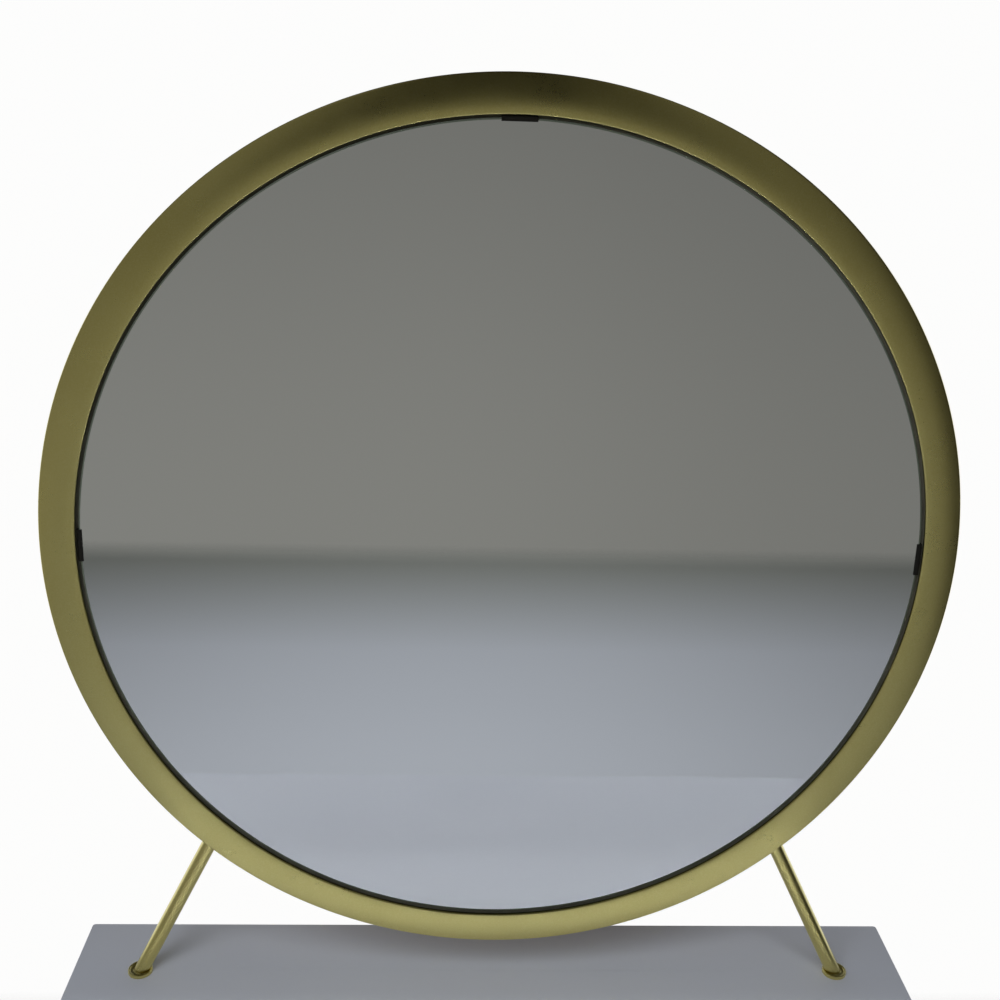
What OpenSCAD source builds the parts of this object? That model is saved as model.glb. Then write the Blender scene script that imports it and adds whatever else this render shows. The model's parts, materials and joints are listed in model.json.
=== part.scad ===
// Vanity table with a round mirror that stands on it.
// Millimetres. X is to the right, Y to the back and Z up. The origin is on the floor, under the
// middle of the whole object's box, so the knob's reach moves the table back by half of itself.

/* [Table] */
// Width of the table top
top_w = 700; // [680:5:760]
// Depth of the table top, front to back
top_d = 400; // [390:5:440]
// Height of the table top's upper face above the floor
table_h = 750; // [720:5:780]
// Thickness of the table top
top_t = 20; // [18:1:25]
// How far the table top stands past the case on every side
overhang = 8; // [6:1:12]
// Height of the case below the table top
case_h = 110; // [106:1:130]
// Thickness of the case boards
board_t = 16; // [15:1:18]
// Width of the eased edges on the lacquered boards
ease = 1; // [0.5:0.1:2]

/* [Drawer] */
// Thickness of the drawer's front
front_t = 18; // [16:1:20]
// Gap round the drawer's front
front_gap = 2; // [1.5:0.5:3]
// Thickness of the drawer's sides and back
box_t = 12; // [12:1:14]
// Thickness of the drawer's bottom
bottom_t = 5; // [4:0.5:6]
// Length of the closed slides and of the drawer's box
slide_len = 330; // [300:5:335]
// Overall length of the knob
knob_len = 28; // [22:1:34]
// Largest radius of the knob
knob_r = 14; // [12:0.5:18]

/* [Legs] */
// Outer radius of the leg tubes
leg_r = 11; // [9:0.5:13]
// Wall thickness of the leg tubes
leg_wall = 1.5; // [1:0.1:2.5]
// Side of the square leg plates
plate_w = 70; // [64:1:80]
// Distance from the case's side to the middle of a leg plate
leg_in_x = 82; // [70:1:100]
// Distance from the case's front or back to the middle of a leg plate
leg_in_y = 62; // [55:1:80]
// Distance from the table top's edge to the middle of a glide
glide_in = 18; // [16:1:24]

/* [Mirror] */
// Outer diameter of the mirror's ring
ring_d = 682; // [660:2:720]
// Width of the ring's front band
band_w = 26.9; // [24:0.1:32]
// Depth of the ring, front to back
ring_depth = 22; // [21:0.5:26]
// Thickness of the ring's sheet metal
sheet_t = 1.5; // [1:0.1:2]
// Clear height between the table top and the ring
ring_gap = 40.5; // [30:0.5:60]
// Distance from the table top's rear edge to the front of the ring
ring_from_back = 76; // [70:0.5:120]
// Gap between the glass's edge and the ring's lip
glass_gap = 2.2; // [1.8:0.1:3]
// Thickness of the mirror glass
glass_t = 4; // [3:0.5:5]
// Radius of the rods that carry the mirror
rod_r = 6; // [4:0.5:6.5]
// Distance from the middle of the table to each rod's foot
rod_foot_x = 294; // [270:0.5:298]
// Lean of the rods from upright, in degrees
rod_lean = 26.7; // [20:0.1:34]
// Radius of the rods' round feet
foot_r = 10; // [9:0.5:13]

/* [Hidden] */

$fn = 64;
brass = "#a59a5c";
lacquer = "#e4e6ec";
steel = "#b4b6b8";
dark = "#1d1c1a";
board = "#6b5440";
birch = "#d9c3a0";

fit = 0.05;      // radial room of a screw, dowel or stud in its hole
over = 1;        // how far a cutting shape runs past what it cuts

// Table top and case
knob_reach = knob_len - overhang;
back_y = (top_d + knob_reach) / 2;
front_y = back_y - top_d;
top_z = table_h - top_t;
case_x = top_w / 2 - overhang;
case_y0 = front_y + overhang;
case_y1 = back_y - overhang;
case_z = top_z - case_h;
open_x = case_x - board_t;
open_z = case_z + board_t;
dowel_r = 4;
dowel_len = 30;
dowel_in_side = 12;
dowel_ys = [case_y0 + 40, (case_y0 + case_y1) / 2, case_y1 - 40];
dowel_zs = [open_z + 22, top_z - 22];

// Brackets between the case and the table top
bracket_w = 24;
bracket_leg = 12;
bracket_t = 1.5;
bracket_ys = [case_y0 + 60, case_y1 - 60];
bracket_screw_at = 7;
bracket_screw = [1.6, 3.2, 1.8, 12];    // shank radius, head radius, head height, length

// Drawer box
slide_room = 13;
box_x = open_x - slide_room;
box_y0 = case_y0 + front_t;
box_y1 = box_y0 + slide_len;
box_z = open_z + 12;
box_h = case_h - board_t - 28;
groove = 5;
groove_z = box_z + 6;
drawer_dowel_r = 3;
drawer_dowel_len = 22;
drawer_dowel_in_front = 10;
drawer_dowel_zs = [box_z + 20, box_z + box_h - 14];
drawer_screw = [1.75, 3.4, 1.8, 32];
drawer_screw_zs = [groove_z + bottom_t + 12, box_z + box_h - 12];

// Slides: each member is a channel that runs inside the next, with running room all round
slide_z = box_z + box_h / 2 - 6;
slide_t = 1.2;
slide_run = 0.3;
outer_h = 35;
middle_h = outer_h - 2 * (slide_t + slide_run);
inner_h = middle_h - 2 * (slide_t + slide_run);
outer_depth = 10;
middle_depth = 9.3;
inner_depth = 9.3;
middle_x = open_x - slide_t - 0.5;
slide_screw = [1.6, 2.9, slide_t, 11];
slide_screw_ys = [box_y0 + 30, box_y0 + slide_len / 2, box_y1 - 30];

// Knob and its screw
knob_z = case_z + board_t + (case_h - board_t) / 2;
knob_bore = 2;
knob_bore_depth = 13;
knob_screw_r = knob_bore - fit;
knob_screw_head = 4;
knob_screw_head_h = 2.6;

// Legs
plate_t = 3;
plate_z = case_z - plate_t;
plate_screw_at = plate_w / 2 - 9;
plate_screw = [2, 4, 2.4, 14];
plate_hole_r = 2.3;
leg_top_x = case_x - leg_in_x;
glide_x = top_w / 2 - glide_in;
glide_h = 6;
glide_r = 13;
glide_plug = 18;

// Mirror
ring_r = ring_d / 2;
lip_r = ring_r - band_w;
ring_y = back_y - ring_from_back;
ring_z = table_h + ring_gap + ring_r;
crown_w = 6.3;         // from the lip to the band's highest line
crown_drop = 0.5;      // how far the lip lies behind that line
shoulder_drop = 3;     // how far the outer wall starts behind it
crown_r = lip_r + crown_w;
shoulder_w = ring_r - crown_r;
lip_depth = 3.4;
glass_front = lip_depth;
glass_back = glass_front + glass_t;
glass_r = lip_r - glass_gap;
arris_w = 1.2;         // the glass's polished arris, across its face
arris_h = 0.3;         // and down its edge
backing_t = 9;
backing_back = glass_back + backing_t;
backing_r = ring_r - sheet_t - 0.5;
clip_w = 24.5;
clip_t = 0.8;
clip_tip = glass_r - 2.4;
clip_web = glass_r + 0.6;
clip_foot = 15;
clip_angles = [180.65, 270.25, -0.35];   // set by hand, close to 9, 12 and 3 o'clock
clip_screw = [1.5, 3, 1.8, 8];
clip_screw_at = clip_web + 9;
lug_w = 14;
lug_t = 2;
lug_angles = [for (k = [0 : 5]) 30 + 60 * k];
lug_screw = [1.75, 3.5, 2, 11];
lug_screw_at = ring_r - sheet_t - lug_w / 2;

// Rods and their feet
rod_axis_y = ring_y + 14;
foot_h = 3.5;
dish_depth = 1.3;
foot_rim = 1.6;
rod_run = ring_gap + ring_r;             // long enough to reach into the ring before coping
stud_r = 3;
stud_room = 0.2;
washer_r = 8;
washer_t = 1.5;
nut_r = 5.8;
nut_h = 5;
stud_end = 3;

// A box from corner a to corner b
module span(a, b) {
  translate(a) cube(b - a);
}

// A rectangle whose corners are cut back by c
module eased_rect(w, h, c) {
  polygon([[c, 0], [w - c, 0], [w, c], [w, h - c], [w - c, h], [c, h], [0, h - c], [0, c]]);
}

// A box from corner a to corner b with all its edges eased
module eased_span(a, b) {
  s = b - a;
  translate(a) intersection() {
    linear_extrude(s.z) eased_rect(s.x, s.y, ease);
    translate([0, s.y, 0]) rotate([90, 0, 0]) linear_extrude(s.y) eased_rect(s.x, s.z, ease);
    rotate([90, 0, 90]) linear_extrude(s.x) eased_rect(s.y, s.z, ease);
  }
}

// Draws its children on the right, or mirrored on the left
module on_side(side) {
  mirror([side < 0 ? 1 : 0, 0, 0]) children();
}

// A screw with a flat countersunk head at z = 0, pointing down; spec as in the lists above
module flat_screw(spec, room = 0) {
  translate([0, 0, -spec[2]]) cylinder(r1 = spec[0] + room, r2 = spec[1] + room, h = spec[2]);
  translate([0, 0, -spec[3]]) cylinder(r = spec[0] + room, h = spec[3]);
}

// A screw whose pan head stands on z = 0, pointing down, with a cross recess
module pan_screw(spec) {
  recess = spec[1] * 0.55;
  difference() {
    union() {
      cylinder(r1 = spec[1], r2 = spec[1] * 0.75, h = spec[2]);
      translate([0, 0, -spec[3]]) cylinder(r = spec[0], h = spec[3]);
    }
    for (turn = [0, 90]) rotate([0, 0, turn])
      translate([-recess, -0.35, spec[2] - 1]) cube([2 * recess, 0.7, 1 + over]);
  }
}

// A pilot hole for a screw's shank, pointing down
module pilot(spec) {
  translate([0, 0, -spec[3] - fit]) cylinder(r = spec[0] + fit, h = spec[3] + over);
}

// Puts its children in the mirror's own frame: z is the depth behind the band's highest line
module in_ring() {
  translate([0, ring_y, ring_z]) rotate([-90, 0, 0]) children();
}

// Puts its children at a place on the ring: x is the radius
module at_angle(angle) {
  rotate([0, 0, angle]) children();
}

// ---------------------------------------------------------------- mirror

// Depth of the front band at a radius: it rises from the lip to its highest line and falls from there
function band_depth(r) = r < crown_r
  ? crown_drop * pow((crown_r - r) / crown_w, 2)
  : shoulder_drop * pow((r - crown_r) / shoulder_w, 2);

module ring_section() {
  steps = 20;
  inner_r = lip_r + sheet_t;
  wall_r = ring_r - sheet_t;
  polygon(concat(
    [[lip_r, lip_depth]],
    [for (i = [0 : steps]) let (r = lip_r + band_w * i / steps) [r, band_depth(r)]],
    [[ring_r, ring_depth], [wall_r, ring_depth]],
    [for (i = [steps : -1 : 0]) let (r = inner_r + (wall_r - inner_r) * i / steps)
      [r, band_depth(r) + sheet_t]],
    [[inner_r, lip_depth]]
  ));
}

module mirror_frame() {
  color(brass) in_ring() rotate_extrude($fn = 180) ring_section();
}

module mirror_glass() {
  color("#aeb4b6") in_ring() rotate_extrude($fn = 180) polygon([
    [0, glass_front], [glass_r - arris_w, glass_front], [glass_r, glass_front + arris_h],
    [glass_r, glass_back], [0, glass_back]
  ]);
}

module mirror_backing() {
  color(board) in_ring() difference() {
    translate([0, 0, glass_back]) cylinder(r = backing_r, h = backing_t, $fn = 180);
    for (a = clip_angles) at_angle(a) {
      span([clip_web - fit, -clip_w / 2 - fit, glass_back - over],
        [clip_web + clip_t + fit, clip_w / 2 + fit, backing_back + over]);
      translate([clip_screw_at, 0, backing_back]) pilot(clip_screw);
    }
    for (a = lug_angles) at_angle(a) translate([lug_screw_at, 0, backing_back])
      flat_screw(lug_screw, fit);
  }
}

module mirror_clips() {
  color(dark) in_ring() for (a = clip_angles) at_angle(a) difference() {
    union() {
      span([clip_tip, -clip_w / 2, glass_front - clip_t], [clip_web + clip_t, clip_w / 2, glass_front]);
      span([clip_web, -clip_w / 2, glass_front - clip_t],
        [clip_web + clip_t, clip_w / 2, backing_back + clip_t]);
      span([clip_web, -clip_w / 2, backing_back], [clip_web + clip_foot, clip_w / 2, backing_back + clip_t]);
    }
    translate([clip_screw_at, 0, backing_back - over]) cylinder(r = clip_screw[0] + fit, h = 3 * over);
  }
}

module clip_screws() {
  color(steel) in_ring() for (a = clip_angles) at_angle(a)
    translate([clip_screw_at, 0, backing_back + clip_t]) pan_screw(clip_screw);
}

module backing_lugs() {
  color(brass) in_ring() for (a = lug_angles) intersection() {
    at_angle(a) difference() {
      span([ring_r - sheet_t - lug_w, -lug_w / 2, glass_back - lug_t],
        [ring_r + over, lug_w / 2, glass_back]);
      translate([lug_screw_at, 0, backing_back]) flat_screw(lug_screw, fit);
    }
    cylinder(r = ring_r - sheet_t, h = ring_depth, $fn = 180);
  }
}

module backing_screws() {
  color(steel) in_ring() for (a = lug_angles) at_angle(a)
    translate([lug_screw_at, 0, backing_back]) flat_screw(lug_screw);
}

// A rod from the foot's dish up to the ring's wall, coped round it
module rod(side) {
  color(brass) difference() {
    on_side(side) translate([rod_foot_x, rod_axis_y, table_h]) rotate([0, -rod_lean, 0])
      translate([0, 0, -rod_r]) cylinder(r = rod_r, h = rod_run / 2);
    in_ring() translate([0, 0, -over]) cylinder(r = ring_r, h = ring_depth + 2 * over, $fn = 180);
    translate([-top_w, rod_axis_y - 2 * rod_r, table_h - 4 * rod_r])
      cube([2 * top_w, 4 * rod_r, 4 * rod_r + foot_h - dish_depth]);
  }
}

module rod_foot(side) {
  on_side(side) color(brass) translate([rod_foot_x, rod_axis_y, table_h]) rotate_extrude() polygon(concat(
    [[0, 0], [foot_r - 0.5, 0], [foot_r, 0.5]],
    [for (a = [0 : 15 : 90]) [foot_r - foot_rim / 2 * (1 - cos(a)), foot_h - foot_rim / 2 * (1 - sin(a))]],
    [for (a = [0 : 15 : 90]) [foot_r - foot_rim / 2 - dish_depth * sin(a), foot_h - dish_depth * (1 - cos(a))]],
    [[0, foot_h - dish_depth]]
  ));
}

// Draws its children under both rods' feet, with z = 0 at the table top's upper face
module under_feet() {
  for (side = [-1, 1]) translate([side * rod_foot_x, rod_axis_y, table_h]) children();
}

module rod_studs() {
  stud_len = top_t + washer_t + nut_h + stud_end;
  color(steel) under_feet() translate([0, 0, -stud_len]) cylinder(r = stud_r, h = stud_len);
}

module rod_washers() {
  color(steel) under_feet() translate([0, 0, -top_t - washer_t]) difference() {
    cylinder(r = washer_r, h = washer_t);
    translate([0, 0, -over]) cylinder(r = stud_r + stud_room, h = washer_t + 2 * over);
  }
}

module rod_nuts() {
  color(steel) under_feet() translate([0, 0, -top_t - washer_t - nut_h]) difference() {
    cylinder(r = nut_r, h = nut_h, $fn = 6);
    translate([0, 0, -over]) cylinder(r = stud_r + fit, h = nut_h + 2 * over);
  }
}

// ---------------------------------------------------------------- table top and case

module table_top() {
  color(lacquer) difference() {
    eased_span([-top_w / 2, front_y, top_z], [top_w / 2, back_y, table_h]);
    under_feet() translate([0, 0, -top_t - over]) cylinder(r = stud_r + stud_room, h = top_t + 2 * over);
    each_bracket() translate([-bracket_screw_at, 0, 0]) rotate([180, 0, 0]) pilot(bracket_screw);
  }
}

// The dowels between the side boards and the bottom and back boards
module side_dowels(room = 0) {
  for (y = dowel_ys) translate([open_x - dowel_len + dowel_in_side, y, case_z + board_t / 2])
    rotate([0, 90, 0]) translate([0, 0, -room]) cylinder(r = dowel_r + room, h = dowel_len + 2 * room);
  for (z = dowel_zs) translate([open_x - dowel_len + dowel_in_side, case_y1 - board_t / 2, z])
    rotate([0, 90, 0]) translate([0, 0, -room]) cylinder(r = dowel_r + room, h = dowel_len + 2 * room);
}

module case_side(side) {
  on_side(side) color(lacquer) difference() {
    eased_span([open_x, case_y0, case_z], [case_x, case_y1, top_z]);
    side_dowels(fit);
    for (y = bracket_ys) translate([open_x, y, top_z - bracket_screw_at]) rotate([0, -90, 0])
      pilot(bracket_screw);
    for (y = slide_screw_ys) translate([open_x - slide_t, y, slide_z]) rotate([0, -90, 0])
      flat_screw(slide_screw, fit);
  }
}

module back_board() {
  color(lacquer) difference() {
    span([-open_x, case_y1 - board_t, open_z], [open_x, case_y1, top_z]);
    for (side = [-1, 1]) on_side(side) side_dowels(fit);
  }
}

module bottom_board() {
  color(lacquer) difference() {
    span([-open_x, case_y0, case_z], [open_x, case_y1, open_z]);
    for (side = [-1, 1]) on_side(side) side_dowels(fit);
    each_plate_screw() translate([0, 0, plate_t]) mirror([0, 0, 1]) pilot(plate_screw - [0, 0, 0, plate_t]);
  }
}

module case_dowels() {
  color(birch) for (side = [-1, 1]) on_side(side) side_dowels();
}

// Draws its children at each bracket's corner, with x out of the case's wall and z up
module each_bracket() {
  for (side = [-1, 1]) on_side(side) for (y = bracket_ys) translate([open_x, y, top_z]) children();
}

module top_brackets() {
  color(steel) each_bracket() difference() {
    union() {
      span([-bracket_leg, -bracket_w / 2, -bracket_t], [0, bracket_w / 2, 0]);
      span([-bracket_t, -bracket_w / 2, -bracket_leg], [0, bracket_w / 2, 0]);
    }
    translate([-bracket_screw_at, 0, -2 * over]) cylinder(r = bracket_screw[0] + fit, h = 4 * over);
    translate([-2 * over, 0, -bracket_screw_at]) rotate([0, 90, 0])
      cylinder(r = bracket_screw[0] + fit, h = 4 * over);
  }
}

module bracket_screws() {
  color(steel) each_bracket() {
    translate([-bracket_screw_at, 0, -bracket_t]) rotate([180, 0, 0]) pan_screw(bracket_screw);
    translate([-bracket_t, 0, -bracket_screw_at]) rotate([0, -90, 0]) pan_screw(bracket_screw);
  }
}

// ---------------------------------------------------------------- slides

// The section of one slide member: a channel with its back on x = 0, open towards +x
module channel(depth, height) {
  difference() {
    translate([0, -height / 2]) square([depth, height]);
    translate([slide_t, slide_t - height / 2]) square([depth, height - 2 * slide_t]);
  }
}

// A slide member along the drawer's box; its back is at x, and it opens away from that back
module slide_member(x, depth, height, outwards) {
  translate([x, box_y1, slide_z]) rotate([90, 0, 0]) linear_extrude(slide_len)
    mirror([outwards ? 0 : 1, 0]) channel(depth, height);
}

module slide_outer(side) {
  on_side(side) color(steel) difference() {
    slide_member(open_x, outer_depth, outer_h, false);
    for (y = slide_screw_ys) translate([open_x - slide_t, y, slide_z]) rotate([0, -90, 0])
      flat_screw(slide_screw, fit);
  }
}

module slide_middle(side) {
  on_side(side) color("#9a9c9e") slide_member(middle_x, middle_depth, middle_h, false);
}

module slide_inner(side) {
  on_side(side) color(steel) difference() {
    slide_member(box_x, inner_depth, inner_h, true);
    for (y = slide_screw_ys) translate([box_x + slide_t, y, slide_z]) rotate([0, 90, 0])
      flat_screw(slide_screw, fit);
  }
}

module outer_slide_screws() {
  color(steel) for (side = [-1, 1]) on_side(side) for (y = slide_screw_ys)
    translate([open_x - slide_t, y, slide_z]) rotate([0, -90, 0]) flat_screw(slide_screw);
}

module inner_slide_screws() {
  color(steel) for (side = [-1, 1]) on_side(side) for (y = slide_screw_ys)
    translate([box_x + slide_t, y, slide_z]) rotate([0, 90, 0]) flat_screw(slide_screw);
}

// ---------------------------------------------------------------- drawer

// The dowels between the drawer's front and its sides
module front_dowels(room = 0) {
  for (z = drawer_dowel_zs)
    translate([box_x - box_t / 2, box_y0 + drawer_dowel_len - drawer_dowel_in_front + room, z])
      rotate([90, 0, 0]) cylinder(r = drawer_dowel_r + room, h = drawer_dowel_len + 2 * room);
}

// The screws through the drawer's sides into its back
module back_screws(room = 0) {
  for (z = drawer_screw_zs) translate([box_x, box_y1 - box_t / 2, z]) rotate([0, 90, 0])
    flat_screw(drawer_screw, room);
}

module drawer_front() {
  color(lacquer) difference() {
    eased_span([front_gap - open_x, case_y0, open_z + front_gap],
      [open_x - front_gap, box_y0, top_z - front_gap]);
    for (side = [-1, 1]) on_side(side) front_dowels(fit);
    span([-box_x + box_t - groove, box_y0 - groove, groove_z],
      [box_x - box_t + groove, box_y0 + over, groove_z + bottom_t]);
    translate([0, case_y0 - over, knob_z]) rotate([-90, 0, 0])
      cylinder(r = knob_bore + stud_room, h = front_t + 2 * over);
  }
}

module drawer_side(side) {
  on_side(side) color(birch) difference() {
    span([box_x - box_t, box_y0, box_z], [box_x, box_y1, box_z + box_h]);
    span([box_x - box_t - over, box_y0 - over, groove_z],
      [box_x - box_t + groove, box_y1 + over, groove_z + bottom_t]);
    front_dowels(fit);
    back_screws(fit);
    for (y = slide_screw_ys) translate([box_x + slide_t, y, slide_z]) rotate([0, 90, 0])
      flat_screw(slide_screw, fit);
  }
}

module drawer_back() {
  color(birch) difference() {
    span([box_t - box_x, box_y1 - box_t, groove_z + bottom_t], [box_x - box_t, box_y1, box_z + box_h]);
    for (side = [-1, 1]) on_side(side) back_screws(fit);
  }
}

module drawer_bottom() {
  color("#e9e2d2") span([-box_x + box_t - groove, box_y0 - groove, groove_z],
    [box_x - box_t + groove, box_y1, groove_z + bottom_t]);
}

module drawer_dowels() {
  color(birch) for (side = [-1, 1]) on_side(side) front_dowels();
}

module drawer_screws() {
  color(steel) for (side = [-1, 1]) on_side(side) back_screws();
}

module drawer_knob() {
  neck_r = 5.5;
  base_r = 8;
  head_h = 8;
  rise = knob_len - head_h;
  color(brass) translate([0, case_y0, knob_z]) rotate([90, 0, 0]) difference() {
    rotate_extrude() polygon(concat(
      [[0, 0], [base_r, 0], [base_r, 1.5]],
      [for (a = [0 : 10 : 90]) [neck_r + (base_r - neck_r) * (1 - sin(a)), 1.5 + 3.5 * (1 - cos(a))]],
      [for (a = [0 : 10 : 90]) [neck_r + (knob_r - neck_r) * (1 - cos(a)), rise - 8 + 7 * sin(a)]],
      [for (a = [0 : 6 : 90]) [knob_r * cos(a), rise + head_h * sin(a)]]
    ));
    translate([0, 0, -over]) cylinder(r = knob_bore, h = knob_bore_depth + over);
  }
}

module knob_screw() {
  color(steel) translate([0, box_y0, knob_z]) rotate([-90, 0, 0])
    pan_screw([knob_screw_r, knob_screw_head, knob_screw_head_h, front_t + knob_bore_depth - 1]);
}

// ---------------------------------------------------------------- legs

// Where a leg's axis meets the plate, and where it meets the glide
function leg_top(end) = [leg_top_x, end < 0 ? case_y0 + leg_in_y : case_y1 - leg_in_y, plate_z];
function leg_foot(end) = [glide_x, end < 0 ? front_y + glide_in : back_y - glide_in, glide_h];

// Draws its children along the line from p to q, with z = 0 at p. The turn about the line keeps
// a round child's seam off the far points of its slanted ends.
module along(p, q) {
  d = q - p;
  translate(p) rotate([0, acos(d.z / norm(d)), atan2(d.y, d.x)]) rotate([0, 0, 45]) children();
}

module leg(side, end) {
  p = leg_foot(end);
  q = leg_top(end);
  length = norm(q - p);
  on_side(side) color(brass) difference() {
    along(p, q) translate([0, 0, -leg_r]) cylinder(r = leg_r, h = length + 2 * leg_r);
    along(p, q) translate([0, 0, -2 * leg_r]) cylinder(r = leg_r - leg_wall, h = length + 4 * leg_r);
    translate([p.x - 4 * leg_r, p.y - 4 * leg_r, glide_h - 4 * leg_r]) cube([8, 8, 4] * leg_r);
    translate([q.x - 4 * leg_r, q.y - 4 * leg_r, plate_z]) cube([8, 8, 4] * leg_r);
  }
}

module leg_plate(side, end) {
  q = leg_top(end);
  on_side(side) color(brass) translate(q) difference() {
    span([-plate_w / 2, -plate_w / 2, 0], [plate_w / 2, plate_w / 2, plate_t]);
    for (x = [-1, 1], y = [-1, 1])
      translate([x * plate_screw_at, y * plate_screw_at, -over])
        cylinder(r = plate_hole_r, h = plate_t + 2 * over);
  }
}

module glide(side, end) {
  p = leg_foot(end);
  q = leg_top(end);
  on_side(side) color(dark) {
    translate([p.x, p.y, 0]) rotate_extrude() polygon([
      [0, 0], [glide_r - 1.5, 0], [glide_r, 1.5], [glide_r, glide_h - 1], [glide_r - 1, glide_h], [0, glide_h]
    ]);
    difference() {
      along(p, q) translate([0, 0, -glide_h / 2])
        cylinder(r = leg_r - leg_wall - fit, h = glide_plug + glide_h / 2);
      translate([p.x - 4 * leg_r, p.y - 4 * leg_r, glide_h / 2 - 4 * leg_r]) cube([8, 8, 4] * leg_r);
    }
  }
}

// Draws its children at each plate screw, with z = 0 at the plate's underside
module each_plate_screw() {
  for (side = [-1, 1]) on_side(side) for (end = [-1, 1]) translate(leg_top(end))
    for (x = [-1, 1], y = [-1, 1]) translate([x * plate_screw_at, y * plate_screw_at, 0]) children();
}

module leg_screws() {
  color(steel) each_plate_screw() rotate([180, 0, 0]) pan_screw(plate_screw);
}

mirror_frame();
mirror_glass();
mirror_backing();
mirror_clips();
clip_screws();
backing_lugs();
backing_screws();
rod(-1);  // left_rod
rod(1);  // right_rod
rod_foot(-1);  // left_rod_foot
rod_foot(1);  // right_rod_foot
rod_studs();
rod_washers();
rod_nuts();
table_top();
case_side(-1);  // left_side
case_side(1);  // right_side
back_board();
bottom_board();
case_dowels();
top_brackets();
bracket_screws();
slide_outer(-1);  // left_slide_outer
slide_outer(1);  // right_slide_outer
slide_middle(-1);  // left_slide_middle
slide_middle(1);  // right_slide_middle
slide_inner(-1);  // left_slide_inner
slide_inner(1);  // right_slide_inner
outer_slide_screws();
inner_slide_screws();
drawer_front();
drawer_side(-1);  // drawer_left_side
drawer_side(1);  // drawer_right_side
drawer_back();
drawer_bottom();
drawer_dowels();
drawer_screws();
drawer_knob();
knob_screw();
leg(-1, -1);  // front_left_leg
leg(1, -1);  // front_right_leg
leg(-1, 1);  // rear_left_leg
leg(1, 1);  // rear_right_leg
leg_plate(-1, -1);  // front_left_leg_plate
leg_plate(1, -1);  // front_right_leg_plate
leg_plate(-1, 1);  // rear_left_leg_plate
leg_plate(1, 1);  // rear_right_leg_plate
glide(-1, -1);  // front_left_glide
glide(1, -1);  // front_right_glide
glide(-1, 1);  // rear_left_glide
glide(1, 1);  // rear_right_glide
leg_screws();
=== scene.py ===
"""The looks of the vanity table with mirror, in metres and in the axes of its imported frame."""

import json
import math

import bmesh
import bpy
from mathutils import Matrix, Vector


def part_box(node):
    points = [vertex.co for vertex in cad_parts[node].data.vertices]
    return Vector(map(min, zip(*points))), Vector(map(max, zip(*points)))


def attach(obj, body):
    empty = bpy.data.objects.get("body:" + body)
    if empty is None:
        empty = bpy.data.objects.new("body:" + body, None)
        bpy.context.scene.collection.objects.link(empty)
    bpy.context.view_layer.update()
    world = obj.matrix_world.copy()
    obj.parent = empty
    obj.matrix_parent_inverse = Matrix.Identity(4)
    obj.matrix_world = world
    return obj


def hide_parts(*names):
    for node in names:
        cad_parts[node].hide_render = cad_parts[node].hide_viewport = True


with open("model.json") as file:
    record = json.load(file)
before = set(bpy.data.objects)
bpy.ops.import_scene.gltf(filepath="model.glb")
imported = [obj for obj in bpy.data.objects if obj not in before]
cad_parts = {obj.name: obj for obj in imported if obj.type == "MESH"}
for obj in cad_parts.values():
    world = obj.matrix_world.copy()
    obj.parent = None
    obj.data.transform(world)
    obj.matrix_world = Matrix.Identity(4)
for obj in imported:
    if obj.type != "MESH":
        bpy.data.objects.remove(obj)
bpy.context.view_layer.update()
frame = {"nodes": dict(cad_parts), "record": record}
record = frame["record"]
scene = bpy.context.scene

MM = 0.001
BODY_OF = {node: body for body, nodes in record["behaviour"]["bodies"].items() for node in nodes}
SLOT_OF = {part["node"]: part["material_slot"] for part in record["subparts"]}


# ---------------------------------------------------------------- places, read from the frame


def middle(node):
    """The middle of a CAD node's box."""
    low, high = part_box(node)
    return (low + high) / 2


def extent(node):
    """The size of a CAD node's box."""
    low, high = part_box(node)
    return high - low


ring_low, ring_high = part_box("mirror_frame")
RING_R = (ring_high.x - ring_low.x) / 2
RING_Z = (ring_high.z + ring_low.z) / 2
RING_Y = ring_low.y  # the band's highest line
RING_DEPTH = ring_high.y - ring_low.y
GLASS_R = extent("mirror_glass").x / 2
GLASS_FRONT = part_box("mirror_glass")[0].y - RING_Y
GLASS_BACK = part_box("mirror_glass")[1].y - RING_Y
BACKING_R = extent("mirror_backing").x / 2
BACKING_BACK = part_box("mirror_backing")[1].y - RING_Y
REAR_EDGE_Y, TABLE_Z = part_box("table_top")[1].yz
FOOT_R = extent("left_rod_foot").x / 2
FOOT_H = extent("left_rod_foot").z
ROD_R = extent("left_rod").y / 2

# The mirror's own frame: local z is the depth behind the band's highest line
IN_RING = Matrix.Translation((0, RING_Y, RING_Z)) @ Matrix.Rotation(-math.pi / 2, 4, "X")

# Section of the ring's sheet metal
BAND_W = 26.9 * MM
CROWN_W = 6.3 * MM
CROWN_DROP = 0.5 * MM
SHOULDER_DROP = 3 * MM
SHEET_T = 1.5 * MM
LIP_DEPTH = 3.4 * MM
LIP_R = RING_R - BAND_W
LIP_ROUND = 0.9 * MM
EDGE_ROUND = 1.4 * MM
HEM_ROUND = 0.6 * MM

# The glass, its clips, the rods and their feet
ARRIS_W, ARRIS_H = 1.2 * MM, 0.3 * MM
CLIP_ANGLES = [math.radians(a) for a in (180.65, 270.25, -0.35)]
CLIP_W, CLIP_T = 24.5 * MM, 0.8 * MM
CLIP_WEB = GLASS_R + 0.6 * MM
ROD_LEAN = math.radians(26.7)
DISH_DEPTH = 1.3 * MM
FOOT_RIM = 0.8 * MM
STUD_HOLE = 3.2 * MM


# ---------------------------------------------------------------- shader helpers


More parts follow.
